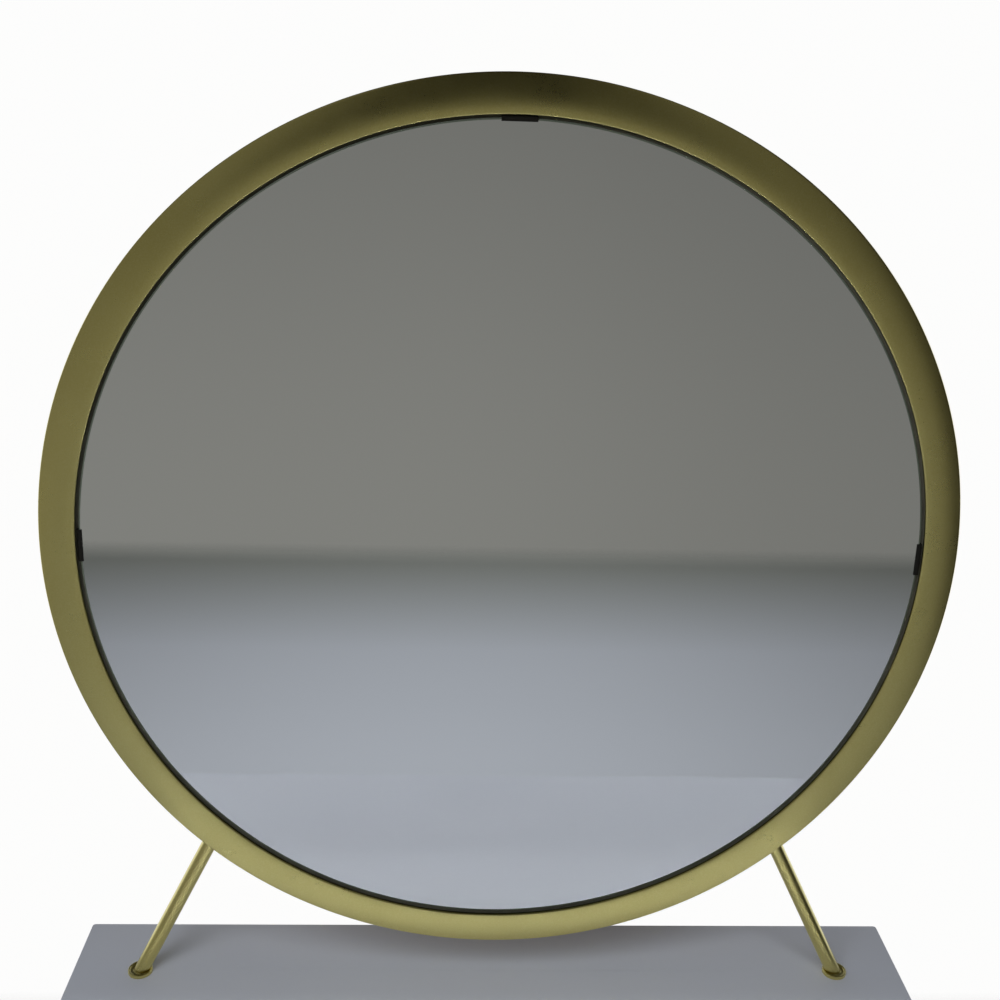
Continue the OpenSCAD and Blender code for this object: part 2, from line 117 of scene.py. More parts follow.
class Finish:
    """A material and the few node chains that every finish here is made of."""

    def __init__(self, name, **sockets):
        self.material = bpy.data.materials.new(name)
        self.material.use_nodes = True
        self.tree = self.material.node_tree
        self.shader = self.tree.nodes["Principled BSDF"]
        for socket, value in sockets.items():
            self.shader.inputs[socket.replace("_", " ")].default_value = value
        self.place = self.node("TexCoord").outputs["Object"]

    def node(self, kind, settings=(), **inputs):
        """Adds a node; settings are its properties and inputs its sockets' values or links."""
        made = self.tree.nodes.new("ShaderNode" + kind)
        for key, value in dict(settings).items():
            setattr(made, key, value)
        for key, value in inputs.items():
            socket = made.inputs[key.replace("_", " ")]
            if isinstance(value, bpy.types.NodeSocket):
                self.tree.links.new(value, socket)
            else:
                socket.default_value = value
        return made

    def noise(self, scale, detail=3.0, stretch=(1, 1, 1), roughness=0.5, distortion=0.0):
        """Noise in the piece's own metres; stretch scales each axis."""
        place = self.node("Mapping", Vector=self.place, Scale=stretch).outputs["Vector"]
        return self.node(
            "TexNoise", Vector=place, Scale=scale, Detail=detail, Roughness=roughness, Distortion=distortion
        ).outputs["Fac"]

    def spread(self, value, low, high, to_low, to_high):
        """Maps value from low..high to to_low..to_high, and holds it there."""
        return self.node(
            "MapRange", Value=value, From_Min=low, From_Max=high, To_Min=to_low, To_Max=to_high
        ).outputs["Result"]

    def blend(self, amount, first, second):
        """A colour from first to second as amount goes from 0 to 1."""
        mix = self.node("Mix", {"data_type": "RGBA"})
        for index, value in ((0, amount), (6, first), (7, second)):
            if isinstance(value, bpy.types.NodeSocket):
                self.tree.links.new(value, mix.inputs[index])
            else:
                mix.inputs[index].default_value = value if index == 0 else (*value, 1)
        return mix.outputs[2]

    def relief(self, height, distance):
        """Bumps the surface by height times distance."""
        bump = self.node("Bump", Height=height, Distance=distance, Strength=1.0)
        self.tree.links.new(bump.outputs["Normal"], self.shader.inputs["Normal"])

    def drive(self, **links):
        """Links outputs to the shader's sockets."""
        for socket, output in links.items():
            self.tree.links.new(output, self.shader.inputs[socket.replace("_", " ")])
        return self.material


# The coating's two cloudy tones, and the tone of its paler specks
BRASS_TONES = ((0.715, 0.620, 0.218), (0.775, 0.680, 0.255), (0.86, 0.78, 0.36))


def satin_brass(name="satin_brass", depth=1.0):
    """Satin, pale brass-coloured coating on steel; a lower depth darkens its tones, which paints shade on
    it.
    """
    f = Finish(name, Metallic=1.0)
    cloud = f.spread(f.noise(7, 4), 0.35, 0.65, 0, 1)
    speck = f.spread(f.noise(900, 2), 0.4, 0.75, 0, 0.35)
    tones = [tuple(c * depth for c in tone) for tone in BRASS_TONES]
    tone = f.blend(cloud, tones[0], tones[1])
    tone = f.blend(speck, tone, tones[2])
    rubbed = f.node("Math", {"operation": "ADD"})
    f.tree.links.new(f.spread(f.noise(30, 5, roughness=0.6), 0.3, 0.7, 0.27, 0.34), rubbed.inputs[0])
    f.tree.links.new(f.spread(f.noise(1400, 2), 0.3, 0.7, -0.02, 0.03), rubbed.inputs[1])
    f.relief(f.noise(1100, 3, roughness=0.6), 0.003 * MM)
    return f.drive(Base_Color=tone, Roughness=rubbed.outputs[0])


def mirror_silver():
    """Silvered float glass, with the faint haze of a wiped surface."""
    f = Finish("mirror_silver", Base_Color=(0.88, 0.89, 0.885, 1), Metallic=1.0)
    haze = f.noise(5, 6, stretch=(1, 1, 1.8), roughness=0.65, distortion=0.6)
    return f.drive(Roughness=f.spread(haze, 0.35, 0.75, 0.012, 0.035))


def glass_edge(name="glass_edge", tones=((0.10, 0.15, 0.12), (0.14, 0.20, 0.165)), rough=0.3):
    """The dark green edge of the glass, ground or polished."""
    f = Finish(name, IOR=1.52)
    ground = f.noise(500, 3, roughness=0.7)
    colour = f.blend(f.spread(ground, 0.3, 0.7, 0, 1), *tones)
    f.relief(ground, 0.06 * rough * MM)
    return f.drive(Base_Color=colour, Roughness=f.spread(ground, 0.3, 0.7, rough, rough * 1.5))


def backing_paint():
    """The grey protective paint on the back of the glass."""
    f = Finish("backing_paint")
    film = f.noise(40, 5)
    colour = f.blend(f.spread(film, 0.3, 0.7, 0, 1), (0.10, 0.115, 0.12), (0.15, 0.165, 0.17))
    return f.drive(Base_Color=colour, Roughness=f.spread(film, 0.3, 0.7, 0.45, 0.6))


def backing_board():
    """Bare brown fibreboard: fibres, flecks and a faintly fuzzy surface."""
    f = Finish("backing_board")
    fibre = f.noise(260, 8, stretch=(1, 1, 2.4), roughness=0.72, distortion=0.9)
    patch = f.noise(9, 4)
    tone = f.blend(f.spread(fibre, 0.3, 0.7, 0, 1), (0.235, 0.155, 0.088), (0.375, 0.262, 0.158))
    tone = f.blend(f.spread(patch, 0.35, 0.65, 0, 0.35), tone, (0.285, 0.198, 0.122))
    f.relief(fibre, 0.12 * MM)
    return f.drive(Base_Color=tone, Roughness=f.spread(fibre, 0.3, 0.7, 0.72, 0.9))


def sealed_face():
    """The backing board's front face, sealed with a dull paint that shows in the gap round the glass."""
    f = Finish("sealed_face")
    brushed = f.noise(70, 5, stretch=(1, 4, 1))
    tone = f.blend(f.spread(brushed, 0.3, 0.7, 0, 1), (0.210, 0.200, 0.140), (0.290, 0.275, 0.190))
    return f.drive(Base_Color=tone, Roughness=f.spread(brushed, 0.3, 0.7, 0.6, 0.8))


def black_steel():
    """Black coated spring steel."""
    f = Finish("black_steel", IOR=1.3)
    grit = f.noise(900, 4)
    tone = f.blend(f.spread(grit, 0.3, 0.7, 0, 1), (0.010, 0.009, 0.007), (0.022, 0.020, 0.015))
    f.relief(grit, 0.01 * MM)
    return f.drive(Base_Color=tone, Roughness=f.spread(grit, 0.3, 0.7, 0.38, 0.52))


def white_lacquer():
    """Satin white lacquer: a fine orange peel, slight clouding and a duller wiped patch here and there."""
    f = Finish("white_lacquer", IOR=1.48)
    cloud = f.noise(3.5, 5, roughness=0.55)
    peel = f.noise(420, 2, roughness=0.4)
    dust = f.noise(1500, 2)
    tone = f.blend(f.spread(cloud, 0.3, 0.7, 0, 1), (0.790, 0.800, 0.830), (0.830, 0.840, 0.868))
    tone = f.blend(f.spread(dust, 0.62, 0.75, 0, 0.4), tone, (0.70, 0.70, 0.71))
    f.relief(peel, 0.02 * MM)
    return f.drive(Base_Color=tone, Roughness=f.spread(cloud, 0.3, 0.7, 0.34, 0.44))


def birch_board():
    """Clear-lacquered birch: long grain along Y, with flecks and a satin film."""
    f = Finish("birch_board", IOR=1.5)
    grain = f.noise(26, 6, stretch=(6, 0.55, 6), roughness=0.6, distortion=0.7)
    pores = f.noise(240, 4, stretch=(5, 0.35, 5), roughness=0.7)
    tone = f.blend(f.spread(grain, 0.3, 0.7, 0, 1), (0.62, 0.465, 0.300), (0.78, 0.640, 0.460))
    tone = f.blend(f.spread(pores, 0.55, 0.75, 0, 0.55), tone, (0.47, 0.325, 0.195))
    f.relief(pores, 0.03 * MM)
    return f.drive(Base_Color=tone, Roughness=f.spread(pores, 0.3, 0.7, 0.36, 0.52))


def drawer_bottom_board():
    """Thin board with a pale printed face: a soft, even grain."""
    f = Finish("drawer_bottom_board")
    grain = f.noise(34, 5, stretch=(0.6, 5, 5), roughness=0.6, distortion=0.4)
    tone = f.blend(f.spread(grain, 0.3, 0.7, 0, 1), (0.70, 0.655, 0.575), (0.80, 0.765, 0.69))
    f.relief(grain, 0.01 * MM)
    return f.drive(Base_Color=tone, Roughness=f.spread(grain, 0.3, 0.7, 0.42, 0.55))


def beech_dowel():
    """Plain fluted beech."""
    f = Finish("beech_dowel")
    grain = f.noise(120, 4, stretch=(1, 4, 4), roughness=0.6)
    tone = f.blend(f.spread(grain, 0.3, 0.7, 0, 1), (0.56, 0.385, 0.235), (0.72, 0.545, 0.375))
    return f.drive(Base_Color=tone, Roughness=f.spread(grain, 0.3, 0.7, 0.55, 0.7))


def zinc(name, tone, rough, streak):
    """Zinc-plated steel: fine rolling streaks and faint spangle."""
    f = Finish(name, Metallic=1.0)
    rolled = f.noise(140, 5, stretch=streak, roughness=0.65)
    spangle = f.noise(60, 3)
    darker = tuple(c * 0.82 for c in tone)
    colour = f.blend(f.spread(rolled, 0.3, 0.7, 0, 1), darker, tone)
    colour = f.blend(f.spread(spangle, 0.45, 0.7, 0, 0.3), colour, (0.60, 0.615, 0.66))
    f.relief(rolled, 0.008 * MM)
    return f.drive(Base_Color=colour, Roughness=f.spread(rolled, 0.3, 0.7, *rough))


def black_plastic():
    """Moulded nylon with a fine spark texture."""
    f = Finish("black_plastic", IOR=1.53)
    grit = f.noise(1100, 3, roughness=0.7)
    scuff = f.noise(45, 5)
    tone = f.blend(f.spread(scuff, 0.5, 0.75, 0, 1), (0.028, 0.028, 0.029), (0.060, 0.060, 0.061))
    f.relief(grit, 0.03 * MM)
    return f.drive(Base_Color=tone, Roughness=f.spread(grit, 0.3, 0.7, 0.5, 0.68))


FINISHES = {
    "satin_brass": satin_brass(),
    "mirror": mirror_silver(),
    "backing_board": backing_board(),
    "black_steel": black_steel(),
    "white_lacquer": white_lacquer(),
    "birch_board": birch_board(),
    "drawer_bottom_board": drawer_bottom_board(),
    "beech_dowel": beech_dowel(),
    "zinc_steel": zinc("zinc_steel", (0.66, 0.67, 0.69), (0.24, 0.36), (5, 0.3, 5)),
    "fastener_steel": zinc("fastener_steel", (0.60, 0.61, 0.63), (0.22, 0.34), (2, 2, 2)),
    "black_plastic": black_plastic(),
}


# ---------------------------------------------------------------- mesh helpers


def rounded(corners, steps=5):
    """The closed outline through corners (x, y, radius), each rounded by an arc of its radius."""
    points = []
    for i, (x, y, radius) in enumerate(corners):
        here = Vector((x, y))
        to_last = Vector(corners[i - 1][:2]) - here
        to_next = Vector(corners[(i + 1) % len(corners)][:2]) - here
        if not radius:
            points.append(here)
            continue
        half = to_last.angle(to_next) / 2
        reach = radius / math.tan(half)
        centre = here + (to_last.normalized() + to_next.normalized()).normalized() * radius / math.sin(half)
        start = here + to_last.normalized() * reach - centre
        turn = start.angle_signed(here + to_next.normalized() * reach - centre)
        for k in range(steps + 1):
            points.append(centre + Matrix.Rotation(-turn * k / steps, 2) @ start)
    return [(p.x, p.y) for p in points]


def circle(x, y, radius, count=40):
    """The outline of a circle about (x, y)."""
    return [
        (x + radius * math.cos(2 * math.pi * k / count), y + radius * math.sin(2 * math.pi * k / count))
        for k in range(count)
    ]


def lathe(outline, segments=64, finishes=None):
    """A bmesh turned round local Z from a closed outline of (radius, height) points.
    finishes gives the material's index of each side of the outline."""
    bm = bmesh.new()
    turns = [2 * math.pi * k / segments for k in range(segments)]
    rings = [[bm.verts.new((r * math.cos(a), r * math.sin(a), h)) for a in turns] for r, h in outline]
    for i, ring in enumerate(rings):
        after = (i + 1) % len(rings)
        if outline[i][0] == 0 and outline[after][0] == 0:
            continue
        for k in range(segments):
            j = (k + 1) % segments
            face = bm.faces.new((ring[k], ring[j], rings[after][j], rings[after][k]))
            face.material_index = finishes[i] if finishes else 0
    bmesh.ops.remove_doubles(bm, verts=bm.verts, dist=1e-7)
    return bm


def prism(outline, low, high, holes=()):
    """A bmesh of the outline (x, y) less its holes, from z = low to z = high."""
    bm = bmesh.new()
    loops = [[bm.verts.new((x, y, low)) for x, y in loop] for loop in (outline, *holes)]
    edges = [bm.edges.new((loop[i - 1], loop[i])) for loop in loops for i in range(len(loop))]
    bmesh.ops.triangle_fill(bm, use_beauty=True, edges=edges)
    bottom = bm.faces[:]
    above = {v: bm.verts.new((v.co.x, v.co.y, high)) for loop in loops for v in loop}
    for face in bottom:
        bm.faces.new([above[v] for v in reversed(face.verts)])
    for loop in loops:
        for i in range(len(loop)):
            bm.faces.new((loop[i - 1], loop[i], above[loop[i]], above[loop[i - 1]]))
    return bm


def plan(low, high):
    """The corners of a box seen from above."""
    return [(low.x, low.y), (high.x, low.y), (high.x, high.y), (low.x, high.y)]


def run(outline, low, high):
    """A bmesh of the outline (x, z) from y = low to y = high."""
    bm = prism(outline, -high, -low)
    bm.transform(Matrix.Rotation(math.pi / 2, 4, "X"))
    return bm


def strut(start, end, rings, segments=48):
    """A bmesh swept along start to end. A ring is (radius, surface, offset): surface(point, direction)
    gives how far along the line through point the ring's vertex meets that surface, and offset is added."""
    bm = bmesh.new()
    along = (end - start).normalized()
    side = along.orthogonal().normalized()
    other = along.cross(side)
    loops = []
    for radius, surface, offset in rings:
        loop = []
        for k in range(segments):
            a = 2 * math.pi * k / segments
            point = start + (side * math.cos(a) + other * math.sin(a)) * radius
            loop.append(bm.verts.new(point + along * (surface(point, along) + offset)))
        loops.append(loop)
    for here, after in zip(loops, loops[1:]):
        for k in range(segments):
            bm.faces.new((here[k - 1], here[k], after[k], after[k - 1]))
    bm.faces.new(loops[0])
    bm.faces.new(loops[-1])
    return bm


def at_height(z):
    """The surface of the level plane at z, for strut()."""
    return lambda point, along: (z - point.z) / along.z


def ring_wall(point, along):
    """The near side of the ring's outer wall, for strut()."""
    flat = Vector((point.x, point.z - RING_Z))
    way = Vector((along.x, along.z))
    a, b, c = way.dot(way), flat.dot(way), flat.dot(flat) - RING_R**2
    return (-b - math.sqrt(b * b - a * c)) / a


def weld(radius, surface, size, into, steps=5):
    """The rings of a concave bead that flares from radius onto a surface, for strut(). into is the way
    off that surface along the strut, 1 or -1."""
    turns = [math.pi / 2 * k / steps for k in range(steps + 1)]
    return [(radius + size * (1 - math.cos(a)), surface, into * size * (1 - math.sin(a))) for a in turns]


def square(radius, low, high, count=9):
    """Rings square to the strut from low to high along it, for strut(); they keep its shading even."""
    reaches = [low + (high - low) * k / (count - 1) for k in range(count)]
    return [(radius, lambda point, along, reach=reach: reach, 0) for reach in reaches]


def solids(node):
    """The boxes of a CAD node's separate solids, as (middle, size)."""
    bm = bmesh.new()
    bm.from_mesh(frame["nodes"][node].data)
    bm.transform(frame["nodes"][node].matrix_world)
    bmesh.ops.remove_doubles(bm, verts=bm.verts, dist=1e-6)
    seen, boxes = set(), []
    for start in bm.verts:
        if start in seen:
            continue
        seen.add(start)
        solid, todo = [], [start]
        while todo:
            vert = todo.pop()
            solid.append(vert.co.copy())
            near = {edge.other_vert(vert) for edge in vert.link_edges} - seen
            seen |= near
            todo += near
        low = Vector([min(co[i] for co in solid) for i in range(3)])
        high = Vector([max(co[i] for co in solid) for i in range(3)])
        boxes.append(((low + high) / 2, high - low))
    bm.free()
    return boxes


def thread(radius, low, high, pitch, tip=0.0):
    """The (radius, height) points of a thread's ridges from high down to low; tip is the length of its
    pointed end."""
    core, count = radius * 0.82, max(1, round((high - low - tip) / pitch))
    step = (high - low - tip) / count
    points = [(core, high)]
    for k in range(count):
        points += [(core, high - step * (k + 0.1)), (radius, high - step * (k + 0.45))]
        points += [(radius, high - step * (k + 0.55)), (core, high - step * (k + 0.9))]
    return points + [(core, low + tip), (core * 0.25 if tip else core, low)]


def screw(shank_r, head_r, head_h, length, flat):
    """A screw that points down, with a cross recess in its head: a countersunk head, flush with z = 0, if
    flat, and otherwise a pan head above z = 0."""
    bm = bmesh.new()

    def loop(points, z):
        return [bm.verts.new((x, y, z)) for x, y in points]

    def wall(lower, upper):
        for i in range(len(lower)):
            bm.faces.new((lower[i - 1], lower[i], upper[i], upper[i - 1]))

    if flat:
        top = 0
        profile = [(shank_r, -head_h), (head_r, -0.2 * MM), (head_r, -0.05 * MM), (head_r - 0.1 * MM, 0)]
    else:
        top = head_h
        profile = [(1, 0), (1, 0.35), (0.95, 0.65), (0.87, 0.88), (0.75, 1)]
        profile = [(head_r * r, head_h * h) for r, h in profile]
    loops = [loop(circle(0, 0, r, 28), z) for r, z in profile]
    for lower, upper in zip(loops, loops[1:]):
        wall(lower, upper)
    bm.faces.new(loops[0])
    # Half the recess's reach and half its width, as fractions of the head's radius
    arm, half = 0.55, 0.35 * MM / head_r
    quarter = [(half, half), (half, arm), (-half, arm)]
    cross = []
    for _turn in range(4):
        cross += quarter
        quarter = [(-y, x) for x, y in quarter]
    depth = min(1.0 * MM, head_h * 0.8)
    mouth = loop([(head_r * x, head_r * y) for x, y in cross], top)
    floor = loop([(head_r * x * 0.8, head_r * y * 0.8) for x, y in cross], top - depth)
    wall(floor, mouth)
    bm.faces.new(floor)
    edges = [bm.edges.get((ring[i - 1], ring[i])) for ring in (loops[-1], mouth) for i in range(len(ring))]
    bmesh.ops.triangle_fill(bm, use_beauty=True, edges=edges)
    shank = thread(shank_r, -length, -head_h * 0.7 if flat else 0, 1.1 * MM, 2 * shank_r)
    shank = lathe([(0, shank[0][1])] + shank + [(0, -length)], 20)
    return joined([(bm, Matrix.Identity(4)), (shank, Matrix.Identity(4))])


def joined(parts):
    """One bmesh of (bmesh, matrix) pairs."""
    whole = bmesh.new()
    for bm, matrix in parts:
        mesh = bpy.data.meshes.new("part")
        bm.to_mesh(mesh)
        bm.free()
        mesh.transform(matrix)
        whole.from_mesh(mesh)
        bpy.data.meshes.remove(mesh)
    return whole


def piece(bm, *nodes, matrix=None, bevel=0.0, materials=None, sharp=32):
    """Makes bm into a shown piece that stands for nodes, rides on their body and has their finish. Edges
    that turn by more than sharp degrees are bevelled, or stay sharp where bevel is 0."""
    if matrix:
        bm.transform(matrix)
    bmesh.ops.recalc_face_normals(bm, faces=bm.faces)
    for face in bm.faces:
        face.smooth = True
    for edge in bm.edges:
        edge.smooth = bool(bevel) or edge.calc_face_angle(0) < math.radians(sharp)
    mesh = bpy.data.meshes.new(nodes[0] + "_look")
    bm.to_mesh(mesh)
    bm.free()
    for material in materials or [FINISHES[SLOT_OF[nodes[0]]]]:
        mesh.materials.append(material)
    made = bpy.data.objects.new(mesh.name, mesh)
    scene.collection.objects.link(made)
    if bevel:
        edge = made.modifiers.new("edge", "BEVEL")
        edge.width = bevel
        edge.segments = 4
        edge.limit_method = "ANGLE"
        edge.angle_limit = math.radians(sharp)
        edge.harden_normals = True
    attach(made, BODY_OF[nodes[0]])
    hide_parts(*nodes)
    return made


# ---------------------------------------------------------------- mirror


def ring_outline():
    """The ring's sheet: lip, crowned band and outer wall, and back along the inside."""
    steps, shoulder_w = 28, BAND_W - CROWN_W

    def band(reach):
        """Depth of the band at a distance from the lip."""
        if reach < CROWN_W:
            return CROWN_DROP * (1 - reach / CROWN_W) ** 2
        return SHOULDER_DROP * ((reach - CROWN_W) / shoulder_w) ** 2

    reaches = [BAND_W * k / steps for k in range(2, steps - 1)]
    inside = [reach for reach in reversed(reaches) if SHEET_T + MM < reach < BAND_W - SHEET_T - MM]
    return rounded(
        [(LIP_R, LIP_DEPTH, HEM_ROUND), (LIP_R, CROWN_DROP, LIP_ROUND)]
        + [(LIP_R + reach, band(reach), 0) for reach in reaches]
        + [(RING_R, SHOULDER_DROP, EDGE_ROUND)]
        + [(RING_R, RING_DEPTH, HEM_ROUND), (RING_R - SHEET_T, RING_DEPTH, HEM_ROUND)]
        + [(RING_R - SHEET_T, SHOULDER_DROP + SHEET_T, 0)]
        + [(LIP_R + reach, band(reach) + SHEET_T, 0) for reach in inside]
        + [(LIP_R + SHEET_T, CROWN_DROP + SHEET_T, 0), (LIP_R + SHEET_T, LIP_DEPTH, HEM_ROUND)]
    )


def build_mirror():
    """The ring, whose lip is painted darker inside as shade, and the glass with its polished arris."""
    fine = 288
    sheet = ring_outline()
    # Out to here, and from this depth on, the lip's inside gets darker tones: painted shade in the recess
    # round the glass
    lip_reach, lip_from = LIP_R + SHEET_T + 0.1 * MM, CROWN_DROP + 0.6 * MM
    in_lip = [radius < lip_reach and depth > lip_from for radius, depth in sheet]
    sides = [int(here and after) for here, after in zip(in_lip, in_lip[1:] + in_lip[:1])]
    # The second look is the same coating with darker tones, painted shade inside the lip
    looks = [FINISHES["satin_brass"], satin_brass("satin_brass_painted_shade_in_lip", 0.42)]
    piece(lathe(sheet, fine, sides), "mirror_frame", matrix=IN_RING, materials=looks)

    back_arris = 0.4 * MM
    outline = [
        (0, GLASS_FRONT),
        (GLASS_R - ARRIS_W, GLASS_FRONT),
        (GLASS_R, GLASS_FRONT + ARRIS_H),
        (GLASS_R, GLASS_BACK - back_arris),
        (GLASS_R - back_arris, GLASS_BACK),
        (0, GLASS_BACK),
    ]
    sides = [0, 3, 1, 1, 2, 0]
    # The arris's tones are the glass's green made paler: partly its own edge and partly a painted highlight
    # for light the polished arris lets through
    arris_look = glass_edge("glass_arris_painted_highlight", ((0.165, 0.190, 0.140), (0.200, 0.225, 0.170)), 0.12)
    looks = [FINISHES["mirror"], glass_edge(), backing_paint(), arris_look]
    piece(lathe(outline, fine, sides), "mirror_glass", matrix=IN_RING, materials=looks, sharp=4)


def build_clips():
    """Bent black clips: a tongue over the glass, a web behind its edge and a foot on the backing board."""
    tip, foot = GLASS_R - 2.4 * MM, CLIP_WEB + 15 * MM
    bend, edge = 0.9 * MM, CLIP_T / 3
    front, back = GLASS_FRONT - CLIP_T, BACKING_BACK + CLIP_T
    section = rounded(
        [
            (tip, front, edge),
            (CLIP_WEB + CLIP_T, front, bend + CLIP_T / 2),
            (CLIP_WEB + CLIP_T, BACKING_BACK, bend / 2),
            (foot, BACKING_BACK, edge),
            (foot, back, edge),
            (CLIP_WEB, back, bend + CLIP_T / 2),
            (CLIP_WEB, GLASS_FRONT, bend / 2),
            (tip, GLASS_FRONT, edge),
        ]
    )
    stand_up = Matrix.Rotation(math.pi / 2, 4, "X")
    parts = [
        (prism(section, -CLIP_W / 2, CLIP_W / 2), Matrix.Rotation(angle, 4, "Z") @ stand_up)
        for angle in CLIP_ANGLES
    ]
    piece(joined(parts), "mirror_clips", matrix=IN_RING, bevel=0.12 * MM)


def build_rods():
    """Two leaning bars with a small weld bead at each end, and their dished feet."""
    bead, ease = 1.2 * MM, 0.4 * MM
    for side, name in ((-1, "left"), (1, "right")):
        foot = middle(name + "_rod_foot")
        foot.z = TABLE_Z
        lean = Vector((-side * math.sin(ROD_LEAN), 0, math.cos(ROD_LEAN)))
        dish = at_height(TABLE_Z + FOOT_H - DISH_DEPTH)
        bottom = weld(ROD_R, dish, bead, 1)
        top = weld(ROD_R, ring_wall, bead, -1)
        # From clear of the lower bead to clear of the upper one, which sits askew on the ring
        bar = square(ROD_R, 10 * MM, ring_wall(foot, lean) - 6 * MM)
        piece(strut(foot, foot + lean, bottom[::-1] + bar + top), name + "_rod")

        rim_turns = [math.pi / 2 * k / 6 for k in range(7)]
        crest = FOOT_R - FOOT_RIM
        outline = [(0, 0), (FOOT_R - ease, 0), (FOOT_R, ease)]
        outline += [
            (crest + FOOT_RIM * math.cos(a), FOOT_H - FOOT_RIM * (1 - math.sin(a)))
            for a in rim_turns
        ]
        outline += [
            (crest - DISH_DEPTH * math.sin(a), FOOT_H - DISH_DEPTH * (1 - math.cos(a)))
            for a in rim_turns[1:]
        ]
        outline += [(0, FOOT_H - DISH_DEPTH)]
        piece(lathe(outline, 72), name + "_rod_foot", matrix=Matrix.Translation(foot))


# ---------------------------------------------------------------- table


def board(node, edge, corner=0.0, holes=()):
    """A board that fills a CAD node's box; edge eases all its edges and corner rounds its upright ones."""
    low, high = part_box(node)
    outline = plan(low, high)
    if corner:
        outline = rounded([(x, y, corner) for x, y in outline])
    piece(prism(outline, low.z, high.z, holes), node, bevel=edge)


def build_case():
    """The table top, with its studs' holes, the case's boards and the drawer's front."""
    feet = [middle(side + "_rod_foot") for side in ("left", "right")]
    board("table_top", 1.2 * MM, 2.5 * MM, [circle(f.x, f.y, STUD_HOLE) for f in feet])
    for node in ("left_side", "right_side", "drawer_front"):
        board(node, 0.9 * MM)
    for node in ("back_board", "bottom_board"):
        board(node, 0.4 * MM)


def build_knob():
    """The drawer's turned knob: a base, a waist that flares into both ends, and a domed head."""
    low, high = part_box("drawer_knob")
    radius, length = (high.x - low.x) / 2, high.y - low.y
    base_r, base_h, ease, neck_r, head_h = 8 * MM, 1.5 * MM, 0.3 * MM, 5.5 * MM, 8 * MM
    rise, flare_h, swell_h = length - head_h, 3.5 * MM, 7 * MM
    turns = [math.pi / 2 * k / 14 for k in range(15)]
    outline = [(0, 0), (base_r - ease, 0), (base_r, ease), (base_r, base_h - ease), (base_r - ease, base_h)]
    outline += [
        (neck_r + (base_r - ease - neck_r) * (1 - math.sin(a)), base_h + flare_h * (1 - math.cos(a)))
        for a in turns[1:]
    ]
    outline += [
        (neck_r + (radius - neck_r) * (1 - math.cos(a)), rise - head_h + swell_h * math.sin(a))
        for a in turns
    ]
    outline += [(radius * math.cos(a), rise + head_h * math.sin(a)) for a in turns]
    outline[-1] = (0, length)
    at_front = Matrix.Translation((0, high.y, (low.z + high.z) / 2)) @ Matrix.Rotation(math.pi / 2, 4, "X")
    piece(lathe(outline, 96), "drawer_knob", matrix=at_front)


def build_legs():
    """Splayed tube legs: a plate with rounded corners, a tube welded to it and a moulded glide."""
    plate_corner, hole_in, hole_r = 7 * MM, 9 * MM, 2.3 * MM
    tube_r, wall, ease, bead = 11 * MM, 1.5 * MM, 0.3 * MM, 2 * MM
    glide_r, glide_h, plug = 13 * MM, 6 * MM, 18 * MM
    chamfer, crown_w, crown_h = 1.2 * MM, 1.4 * MM, 1.6 * MM
    mounts = {mount["name"]: Vector(mount["pos_m"]) for mount in record["mounts"]}
    for end in ("front", "rear"):
        for side in ("left", "right"):
            leg = f"{end}_{side}_leg"
            low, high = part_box(leg + "_plate")
            centre, half = (low + high) / 2, (high - low) / 2
            holes = [
                circle(centre.x + sx * (half.x - hole_in), centre.y + sy * (half.y - hole_in), hole_r)
                for sx in (-1, 1)
                for sy in (-1, 1)
            ]
            outline = rounded([(x, y, plate_corner) for x, y in plan(low, high)], 8)
            piece(prism(outline, low.z, high.z, holes), leg + "_plate", bevel=0.5 * MM)

            glide = f"{end}_{side}_glide"
            foot = mounts[glide + "_face"] + Vector((0, 0, glide_h))
            top = Vector((centre.x, centre.y, low.z))
            on_glide, under_plate = at_height(glide_h), at_height(low.z)
            inside = tube_r - wall
            # From the end of the bore, a little past the glide's plug, out and up to the plate
            rings = [
                (inside, on_glide, plug + 4 * MM),
                (inside, on_glide, ease),
                (inside + ease, on_glide, 0),
                (tube_r - ease, on_glide, 0),
                (tube_r, on_glide, ease),
            ]
            rings += square(tube_r, 8 * MM, (top - foot).length - 12 * MM)
            rings += weld(tube_r, under_plate, bead, -1)
            piece(strut(foot, top, rings, 64), leg)

            rim = rounded(
                [
                    (0, 0, 0),
                    (glide_r - chamfer, 0, 0.5 * MM),
                    (glide_r, chamfer, 0.5 * MM),
                    (glide_r, glide_h - crown_h, 0.6 * MM),
                    (glide_r - crown_w, glide_h, 0.6 * MM),
                    (0, glide_h, 0),
                ]
            )
            disc = (lathe(rim, 64), Matrix.Translation((foot.x, foot.y, 0)))
            spigot = [
                (inside - 0.2 * MM, on_glide, -1 * MM),
                (inside - 0.2 * MM, on_glide, plug - 1 * MM),
                (inside - 1 * MM, on_glide, plug),
            ]
            piece(joined([disc, (strut(foot, top, spigot), Matrix.Identity(4))]), glide)


# ---------------------------------------------------------------- behind the mirror


